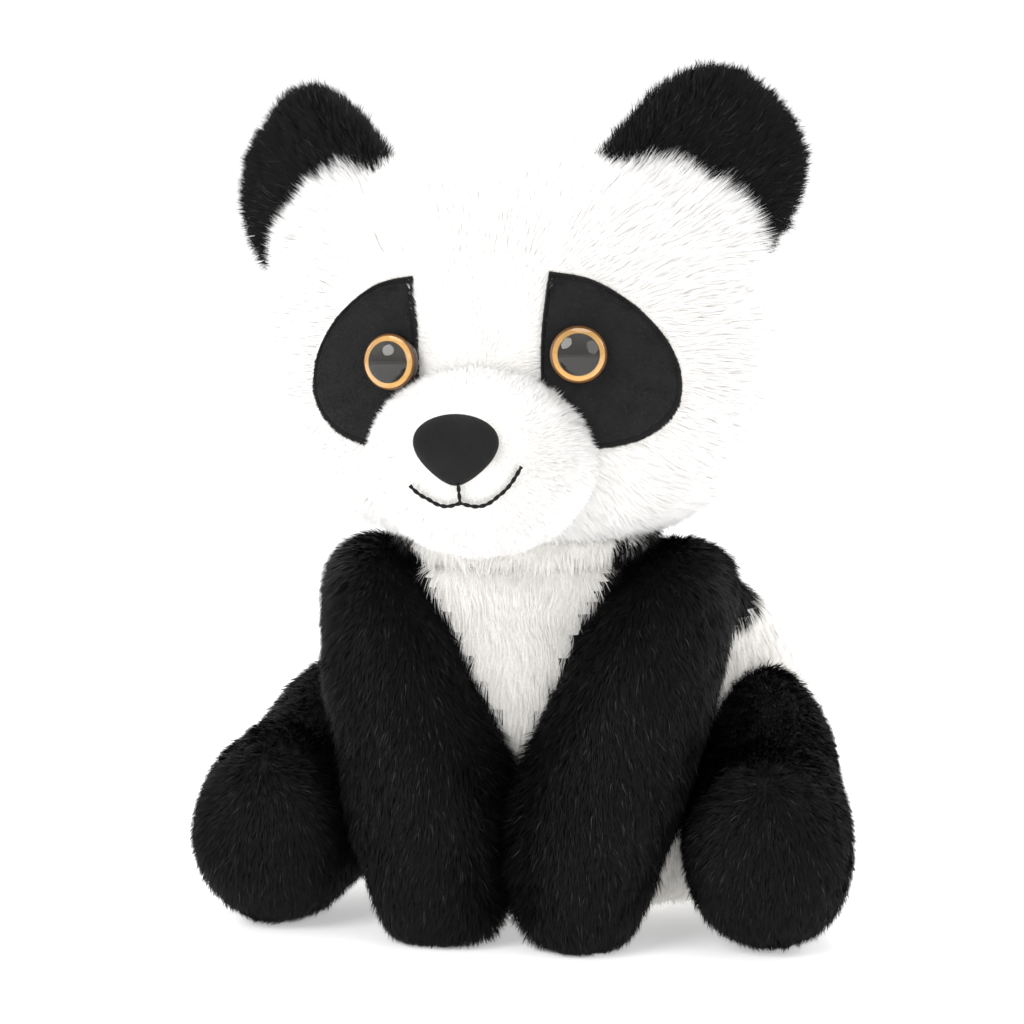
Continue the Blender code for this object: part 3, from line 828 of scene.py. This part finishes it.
def make_head():
    skin = closed_form("head_skin", head_form, 120, 80)
    lumpy(skin, 0.6 * MM, 38 * MM, 11)
    head = add("head_skin", skin, "head", white_cloth)
    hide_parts("head_cover")
    ears = [tree_of(closed_form("ear", ear_form(side), 32, 24)) for side, _ in SIDES]

    def open_skin(p, n):
        covered = in_patch(p, 0.99) | in_round(p, MUZZLE_CENTRE, MUZZLE_HALF)
        neck = np.linalg.norm(p - NECK_PIVOT, axis=1) < 27 * MM
        return ~(covered | neck)

    for name, front, count, seed in (("face_pile", True, 240000, 21), ("nape_pile", False, 170000, 22)):

        def half(p, n, front=front):
            ahead = p[:, 1] < HEAD_CENTRE[1] + 6 * MM
            return open_skin(p, n) & (ahead == front)

        coat = pile(
            name, skin, "head", white_pile, count, head_length, head_flow, lift=head_lift,
            width=0.25 * MM, keep=half, under=ears, tuft=0.22, stray=0.055, soft=0.95, seed=seed,
        )


def make_muzzle():
    skin = closed_form("muzzle_skin", round_form(MUZZLE_CENTRE, MUZZLE_HALF), 72, 48)
    muzzle = add("muzzle_skin", skin, "head", white_cloth)
    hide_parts("muzzle_cover")

    def flow(p, n):
        return unit(p - NOSE_CENTRE) + np.outer(np.full(len(p), -0.1), UP)

    def ahead(p, n):
        return ~in_round(p, HEAD_CENTRE, HEAD_HALF, 0.97) & ~in_round(p, NOSE_CENTRE, NOSE_HALF, 0.96)

    def length(p):
        far = np.linalg.norm(p - NOSE_CENTRE, axis=1)
        return 2.2 * MM + 2.8 * MM * ease(far, 12 * MM, 40 * MM)

    coat = pile(
        "muzzle_pile", skin, "head", white_pile, 90000, length, flow, lift=0.5,
        width=0.22 * MM, keep=ahead, tuft=0.2, stray=0.15, soft=0.95, seed=31,
    )


def make_nose():
    skin = closed_form("nose_skin", nose_form, 64, 40)
    nose = add("nose_skin", skin, "head", velour_cloth)
    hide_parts("nose_cover")
    coat = pile(
        "nose_pile", skin, "head", velour_pile, 14000, 0.9 * MM,
        lambda p, n: np.tile((0, 0, -1.0), (len(p), 1)), lift=0.5, width=0.2 * MM,
        stray=0.2, seed=33,
    )


def make_patch(side, name):
    """A short-pile patch on the face with a turned edge, stitched round just inside it."""
    rings = np.concatenate((np.linspace(0.02, 0.9, 26), (0.92, 0.935, 0.95, 0.965, 0.98, 0.99, 1.0)))
    line = PATCH_LINES[side] - PATCH_MIDDLE
    around = len(line)
    height = np.interp(
        rings, (0, 0.9, 0.935, 0.965, 0.985, 1.0), np.array((1.5, 1.5, 0.95, 1.7, 1.4, -0.4)) * MM
    )
    points, faces = [], []
    for share, rise in zip(rings, height):
        x, z = (PATCH_MIDDLE + line * share).T
        spot, out = face_point(side * x, z), face_normal(side * x, z)
        points.append(spot + out * rise)
    points = np.concatenate(points)
    for r in range(len(rings) - 1):
        for k in range(around):
            m = (k + 1) % around
            faces.append((r * around + k, r * around + m, (r + 1) * around + m, (r + 1) * around + k))
    faces.append(tuple(range(around))[::-1])
    mesh = bpy.data.meshes.new("patch")
    mesh.from_pydata(points.tolist(), [], faces)
    mesh.update()
    if normals(mesh)[:, 1].mean() > 0:
        mesh.flip_normals()
    patch = add("eye_patch_cloth_" + name, mesh, "head", velboa_cloth)
    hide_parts("eye_patch_" + name)

    def flow(p, n):
        return np.tile((side * 0.5, 0, -1.0), (len(p), 1))

    coat = pile(
        "eye_patch_pile_" + name, mesh, "head", velboa_pile, 26000, 1.5 * MM, flow, lift=0.4,
        width=0.24 * MM, stray=0.15, tuft=0.1, wave=0.4, wave_size=14 * MM, seed=41 + side,
        keep=lambda p, n: ~in_round(p, MUZZLE_CENTRE, MUZZLE_HALF),
    )


def make_eye(side, name):
    x, z = (np.array((k,)) for k in EYE_PLACES[side])
    place, aim = face_point(x, z)[0], face_normal(x, z)[0]
    base = EYE_SEAT + EYE_FLANGE
    low = base - 0.05 * MM
    black_edge = EYE_EDGE - 0.4 * MM
    black_top = base - 0.2 * MM
    flange = turned(
        "eye_flange_" + name,
        ((0, black_top), (black_edge, black_top), (black_edge, EYE_SEAT), (0, EYE_SEAT)),
        place, aim, "head", black_plastic,
    )
    ring = []
    for t in np.linspace(0, 1, 10):
        radius = PUPIL_RADIUS + (IRIS_EDGE - PUPIL_RADIUS) * t
        ring.append((radius, base + (1.1 - 0.5 * t**1.3) * MM))
    ring += [(IRIS_EDGE, low), (PUPIL_RADIUS, low)]
    brown_edge = EYE_EDGE - 0.35 * MM
    slope = (
        (IRIS_EDGE, base + 0.6 * MM),
        (brown_edge, base + 0.1 * MM),
        (brown_edge, low),
        (IRIS_EDGE, low),
    )
    rim_ring = turned("eye_rim_" + name, slope, place, aim, "head", rim_brown)
    iris = turned("eye_ring_" + name, ring, place, aim, "head", gold_foil)
    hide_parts("eye_iris_" + name)
    hill = PUPIL_RADIUS - 0.15 * MM
    crown = (
        (0, base + 1.5 * MM),
        (hill * 0.6, base + 1.42 * MM),
        (hill, base + 1.15 * MM),
        (hill, base),
        (0, base),
    )
    pupil = turned("eye_centre_" + name, crown, place, aim, "head", pupil_black)
    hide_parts("eye_pupil_" + name)
    dome_base = base + 0.2 * MM
    dome = [(0, EYE_SEAT), (EYE_RADIUS - 0.2 * MM, EYE_SEAT)]
    dome += [(EYE_RADIUS, EYE_SEAT + 0.3 * MM), (EYE_RADIUS, dome_base)]
    for a in np.radians(np.linspace(0, 90, 14)[1:]):
        dome.append((max(EYE_RADIUS * cos(a), 0), dome_base + DOME_RISE * sin(a)))
    dome[-1] = (0, dome[-1][1])
    lens = turned("eye_dome_" + name, dome, place, aim, "head", clear_dome)
    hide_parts("eye_lens_" + name)


def make_mouth():
    """Rows of short stitches: two strands that wind about the mouth's line."""

    def on_muzzle(x, z, ahead):
        return np.array((x, float(muzzle_front(x, z)) - ahead, z))

    smile = []
    for k in np.linspace(-1, 1, 61):
        share = abs(k)
        dip = 1.2 * MM * sin(pi * min(1.0, 1.6 * share))
        half, curl = (18 * MM, 11 * MM) if k > 0 else (16 * MM, 5 * MM)
        smile.append(on_muzzle(MOUTH_X + k * half, MOUTH_Z - dip + curl * share**3.5, 2.0 * MM))
    line = [on_muzzle(MOUTH_X, MOUTH_Z + k * 0.6 * MM, 2.1 * MM) for k in range(11)]
    for name, route, node in (
        ("mouth_smile", smile, "mouth_smile_thread"),
        ("mouth_line", line, "mouth_line_thread"),
    ):
        route = np.array(route)
        mesh = stitched(route, 0.62 * MM, pitch=5 * MM)
        thread = add(name + "_stitches", mesh, "head", black_thread)
        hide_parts(node)


def stitched(route, radius, pitch=2.6 * MM):
    """Two strands wound round each other along a route, as one mesh."""
    step = np.linalg.norm(np.diff(route, axis=0), axis=1)
    length = np.concatenate(((0,), np.cumsum(step)))
    turns = length[-1] / pitch
    s = np.linspace(0, length[-1], max(24, int(turns * 10)))
    middle = np.stack([np.interp(s, length, route[:, k]) for k in range(3)], axis=1)
    aim = unit(np.gradient(middle, axis=0))
    side = unit(np.cross(aim, np.array((0, -1.0, 0.001))))
    out = np.cross(side, aim)
    points, faces = [], []
    around = 8
    for strand in range(2):
        phase = s / length[-1] * turns * 2 * pi + strand * pi
        core = middle + (side * np.cos(phase)[:, None] + out * np.sin(phase)[:, None]) * radius * 0.42
        first = len(points) * around
        for q, a, b in zip(core, side, out):
            bearing = np.arange(around) * 2 * pi / around
            points.append(q + (np.outer(np.cos(bearing), a) + np.outer(np.sin(bearing), b)) * radius * 0.62)
        for r in range(len(core) - 1):
            for k in range(around):
                m = (k + 1) % around
                low = first + r * around
                faces.append((low + k, low + m, low + around + m, low + around + k))
        faces.append(tuple(first + k for k in range(around))[::-1])
        last = first + (len(core) - 1) * around
        faces.append(tuple(last + k for k in range(around)))
    mesh = bpy.data.meshes.new("stitches")
    mesh.from_pydata(np.concatenate(points).tolist(), [], faces)
    mesh.update()
    face_out(mesh)
    return mesh


def make_ear(side, name):
    along, back, rise = ear_frame(side)
    root = ear_root(side)
    skin = closed_form("ear_skin", ear_form(side), 64, 40)
    face_out(skin)
    ear = add("ear_skin_" + name, skin, "ear_" + name, black_cloth)
    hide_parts("ear_front_" + name, "ear_back_" + name)

    def flow(p, n):
        spread = (p - root) @ along
        return rise + np.outer(spread / EAR_HALF[0] * 1.1, along)

    def buried(p, n):
        return ~in_round(p, HEAD_CENTRE, HEAD_HALF, 0.96)

    for part, sign, seed in (("front", -1, 51), ("back", 1, 53)):

        def facing(p, n, sign=sign):
            return buried(p, n) & (sign * (n @ back) > -0.25)

        coat = pile(
            f"ear_{part}_pile_{name}", skin, "ear_" + name, black_pile, 38000, 7.2 * MM, flow,
            lift=0.5, width=0.3 * MM, keep=facing, tuft=0.45, stray=0.2, seed=seed + side,
        )


# ---------------------------------------------------------------- body
def in_yoke(p):
    rel = p - YOKE_CORNER
    """The yoke, and the black shoulders beside the bib, which narrows downwards."""
    behind = rel[:, 1] * cos(YOKE_TILT) + rel[:, 2] * sin(YOKE_TILT)
    above = rel[:, 2] * cos(YOKE_TILT) - rel[:, 1] * sin(YOKE_TILT)
    bib = np.interp(p[:, 2] / MM, (60, 76, 102, 130), (3, 8, 20, 34)) * MM
    beside = (abs(p[:, 0]) > bib) & (p[:, 2] > 62 * MM) & (p[:, 1] < -26 * MM)
    return ((behind > 0) & (above > 0)) | beside


def make_torso(limbs):
    skin = ring_form("torso_skin", TORSO, around=10, egg=TORSO_EGG)
    lumpy(skin, 0.8 * MM, 40 * MM, 61)
    torso = add("torso_skin", skin, "torso", white_cloth, black_cloth)
    middles = np.array([f.center for f in skin.polygons])
    skin.polygons.foreach_set("material_index", in_yoke(middles).astype(np.int32))
    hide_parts("torso_front_cover", "torso_back_cover", "shoulder_yoke")

    def flow(p, n):
        away = p - np.array((0, 15, 60)) * MM
        away[:, 2] = 0
        return unit(away) * 0.25 - UP

    def seated(p, n):
        return (p[:, 2] > 3 * MM) | (n[:, 2] > -0.5)

    parts = (
        ("bib_pile", bib_pile, 90000, 71, lambda p: (p[:, 1] < SIDE_SEAM_Y) & ~in_yoke(p)),
        ("back_pile", white_pile, 90000, 72, lambda p: (p[:, 1] >= SIDE_SEAM_Y) & ~in_yoke(p)),
        ("yoke_pile", black_pile, 130000, 73, in_yoke),
    )
    for name, material, count, seed, where in parts:

        def stays(p, n, where=where):
            return where(p) & seated(p, n)

        coat = pile(
            name, skin, "torso", material, count, 8 * MM, flow, lift=0.26, keep=stays,
            under=limbs, tuft=0.35, stray=0.1, seed=seed, width=0.28 * MM, soft=0.9,
        )
    return skin


def make_arm(side, name, torso):
    skin = ring_form("arm_skin", ARM, side)
    lumpy(skin, 0.7 * MM, 26 * MM, 81)
    arm = add("arm_skin_" + name, skin, "arm_" + name, black_cloth)
    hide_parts("arm_cover_" + name)

    def flow(p, n):
        return np.tile((side * 0.1, -0.12, -1.0), (len(p), 1))

    def inner(p):
        """1 where the two arms face each other, down to the paws."""
        return 1 - ease(side * p[:, 0], 6 * MM, 16 * MM)

    def reach(p):
        return (7 + 3 * inner(p)) * MM

    def lift(p):
        return 0.32 + 0.3 * inner(p)

    coat = pile(
        "arm_pile_" + name, skin, "arm_" + name, black_pile, 90000, reach, flow,
        lift=lift, width=0.32 * MM, soft=0.8, keep=lambda p, n: p[:, 2] > 1.5 * MM, under=[torso], tuft=0.4,
        stray=0.15, seed=83 + side,
    )


def make_leg(side, name, torso):
    skin = ring_form("leg_skin", LEG, side, "Y")
    lumpy(skin, 0.7 * MM, 26 * MM, 91)
    leg = add("leg_skin_" + name, skin, "leg_" + name, black_cloth)
    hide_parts("leg_cover_" + name, "foot_sole_" + name)
    middle = np.array((side * 85, -83, 50)) * MM

    def leg_flow(p, n):
        return np.tile((side * 0.15, -0.45, -0.75), (len(p), 1))

    def sole_flow(p, n):
        return unit(p - middle) * 0.55 - UP

    parts = (
        ("leg_pile_", 66000, leg_flow, 93, lambda p: p[:, 1] >= SOLE_SEAM_Y),
        ("sole_pile_", 80000, sole_flow, 97, lambda p: p[:, 1] < SOLE_SEAM_Y),
    )
    for label, count, flow, seed, where in parts:

        def stays(p, n, where=where):
            return where(p) & (p[:, 2] > 0.8 * MM)

        coat = pile(
            label + name, skin, "leg_" + name, black_pile, count, 6.3 * MM, flow, lift=0.4, width=0.32 * MM,
            keep=stays, under=[torso], tuft=0.4, stray=0.17, seed=seed + side,
        )


def make_tail(torso):
    skin = closed_form("tail_skin", round_form(TAIL_CENTRE, TAIL_HALF), 40, 28)
    tail = add("tail_skin", skin, "tail", white_cloth)
    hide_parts("tail_cover")
    coat = pile(
        "tail_pile", skin, "tail", white_pile, 14000, 9 * MM,
        lambda p, n: p - np.array((0, 80, 40)) * MM, lift=0.45, under=[torso], seed=101,
    )


def make_neck():
    """The gathered cloth between the head and the shoulders."""
    d, faces = globe(48, 24)
    points = NECK_PIVOT + d * np.array((44, 36, 15)) * MM
    points[:, 2] -= 2 * MM
    mesh = bpy.data.meshes.new("neck")
    mesh.from_pydata(points.tolist(), [], faces)
    mesh.update()
    neck = add("neck_skin", mesh, None, white_cloth)
    for name, material, middle in (("neck_pile", bib_pile, True), ("nape_ring_pile", black_pile, False)):

        def stays(p, n, middle=middle):
            return ((abs(p[:, 0]) < 33 * MM) & (p[:, 1] < NECK_PIVOT[1])) == middle

        coat = pile(
            name, mesh, "neck", material, 16000, 9 * MM,
            lambda p, n: np.tile((0, 0, -1.0), (len(p), 1)), lift=0.22, width=0.28 * MM,
            stray=0.1, soft=0.9, seed=111, keep=stays,
        )
    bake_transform(neck)


def make_closing_seam(torso):
    tree = tree_of(torso)
    route = []
    for k in range(41):
        z = (44 + k) * MM
        near, out, _, _ = tree.find_nearest(Vector((0, 0.12, z)))
        sway = 1.2 * MM * (1 if k % 4 < 2 else -1)
        route.append(np.array(near + out * 0.9 * MM) + np.array((sway, 0, 0)))
    seam = add("closing_seam", stitched(np.array(route), 0.4 * MM), "torso", white_thread)
    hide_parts("closing_stitch")


# ---------------------------------------------------------------- hard materials
def moulded(name, colour, roughness, speck, **values):
    """Moulded plastic or foil with faint streaks in its colour and gloss."""
    material, shader = principled(name, **values)
    nodes, links = material.node_tree.nodes, material.node_tree.links
    where = nodes.new("ShaderNodeTexCoord")
    streak = nodes.new("ShaderNodeTexNoise")
    streak.inputs["Scale"].default_value = 600
    links.new(where.outputs["Object"], streak.inputs["Vector"])
    pale = tuple(min(1.0, c * (1 + speck)) for c in colour)
    colour_out = mixed(nodes, links, "MIX", streak.outputs["Fac"], colour, pale)
    links.new(colour_out, shader.inputs["Base Color"])
    gloss = nodes.new("ShaderNodeMapRange")
    links.new(streak.outputs["Fac"], gloss.inputs[0])
    gloss.inputs[3].default_value = roughness * 0.85
    gloss.inputs[4].default_value = roughness * 1.15
    links.new(gloss.outputs[0], shader.inputs["Roughness"])
    return material


black_plastic = moulded("black_plastic", (0.006, 0.006, 0.006), 0.25, 0.3)
pupil_black = moulded("pupil_black", (0.002, 0.002, 0.002), 0.12, 0.3)
white_plastic = moulded("white_plastic", (0.8, 0.8, 0.78), 0.4, 0.05)
gold_foil = moulded("gold_foil", (0.60, 0.36, 0.13), 0.32, 0.5, Metallic=1.0)
rim_brown = moulded("rim_brown", (0.17, 0.075, 0.022), 0.35, 0.5, Metallic=0.7)
clear_dome, dome_shader = principled(
    "clear_dome", Roughness=0.02, IOR=1.49, Transmission_Weight=1.0
)
dome_shader.inputs["Base Color"].default_value = (0.98, 0.92, 0.83, 1)


def dress_cad_nodes():
    """Materials of the CAD nodes that stay in view or inside."""
    finish = {
        "polyester_fibre": fibre_fill,
        "bag_cloth": bag_cloth,
        "black_plastic": black_plastic,
        "white_plastic": white_plastic,
    }
    slots = {s["node"]: s["material_slot"] for s in frame["record"]["subparts"]}
    for name, node in frame["nodes"].items():
        material = finish.get(slots.get(name))
        if material:
            node.data.materials.clear()
            node.data.materials.append(material)


# ---------------------------------------------------------------- studio
def make_studio():
    world = bpy.data.worlds.new("studio")
    bpy.context.scene.world = world
    world.use_nodes = True
    nodes, links = world.node_tree.nodes, world.node_tree.links
    background = nodes["Background"]
    path = nodes.new("ShaderNodeLightPath")
    strength = nodes.new("ShaderNodeMapRange")
    links.new(path.outputs["Is Camera Ray"], strength.inputs[0])
    strength.inputs[3].default_value = 0.62
    strength.inputs[4].default_value = 1.05
    links.new(strength.outputs[0], background.inputs["Strength"])
    background.inputs["Color"].default_value = (1, 1, 1, 1)

    mesh = bpy.data.meshes.new("floor")
    edge = 12.0
    corners = [(-edge, -edge, 0), (edge, -edge, 0), (edge, edge, 0), (-edge, edge, 0)]
    mesh.from_pydata(corners, [], [(0, 1, 2, 3)])
    floor = bpy.data.objects.new("floor", mesh)
    bpy.context.scene.collection.objects.link(floor)
    paper, shader = principled("paper", Roughness=0.9, Specular_IOR_Level=0.1)
    shader.inputs["Base Color"].default_value = (0.9, 0.9, 0.9, 1)
    shader.inputs["Emission Color"].default_value = (1, 1, 1, 1)
    shader.inputs["Emission Strength"].default_value = 0.45
    mesh.materials.append(paper)

    middle = Vector((0, -0.02, 0.14))
    for name, place, size, watts in (
        ("key", (-0.55, -1.25, 0.95), 0.9, 14),
        ("fill", (1.3, -0.9, 0.7), 1.1, 6.5),
        ("top", (0.1, 0.2, 1.5), 1.2, 12),
        ("back_left", (-1.1, 0.9, 0.8), 0.9, 9),
        ("back_right", (1.1, 0.9, 0.8), 0.9, 9),
    ):
        lamp = bpy.data.lights.new(name, "AREA")
        lamp.shape = "DISK"
        lamp.size = size
        lamp.energy = watts
        light = bpy.data.objects.new(name, lamp)
        bpy.context.scene.collection.objects.link(light)
        light.location = place
        light.rotation_euler = (middle - light.location).to_track_quat("-Z", "Y").to_euler()


def make_camera():
    lens = bpy.data.cameras.new("camera")
    lens.lens = 87
    lens.sensor_width = 36
    lens.shift_x = -0.022
    lens.shift_y = -0.025
    camera = bpy.data.objects.new("camera", lens)
    bpy.context.scene.collection.objects.link(camera)
    bearing, reach = radians(12.5), 0.85
    camera.location = Vector((sin(bearing) * reach, -0.03 - cos(bearing) * reach, 0.205))
    target = Vector((0, -0.03, 0.15))
    camera.rotation_euler = (target - camera.location).to_track_quat("-Z", "Y").to_euler()
    bpy.context.scene.camera = camera


# ---------------------------------------------------------------- assembly
make_camera()
make_studio()
bpy.context.scene.view_settings.view_transform = "Standard"
dress_cad_nodes()
make_head()
make_muzzle()
make_nose()
make_mouth()
for eye_side, eye_name in SIDES:
    make_patch(eye_side, eye_name)
    make_eye(eye_side, eye_name)
    make_ear(eye_side, eye_name)
torso_tree = tree_of(ring_form("torso", TORSO, around=10, egg=TORSO_EGG))
limb_trees = []
for limb_side, limb_name in SIDES:
    make_arm(limb_side, limb_name, torso_tree)
    make_leg(limb_side, limb_name, torso_tree)
    limb_trees.append(tree_of(ring_form("arm", ARM, limb_side)))
    limb_trees.append(tree_of(ring_form("leg", LEG, limb_side, "Y")))
torso_skin = make_torso(limb_trees)
make_tail(torso_tree)
make_neck()
make_closing_seam(torso_skin)
print("fibres", sum(COUNTS.values()), COUNTS)
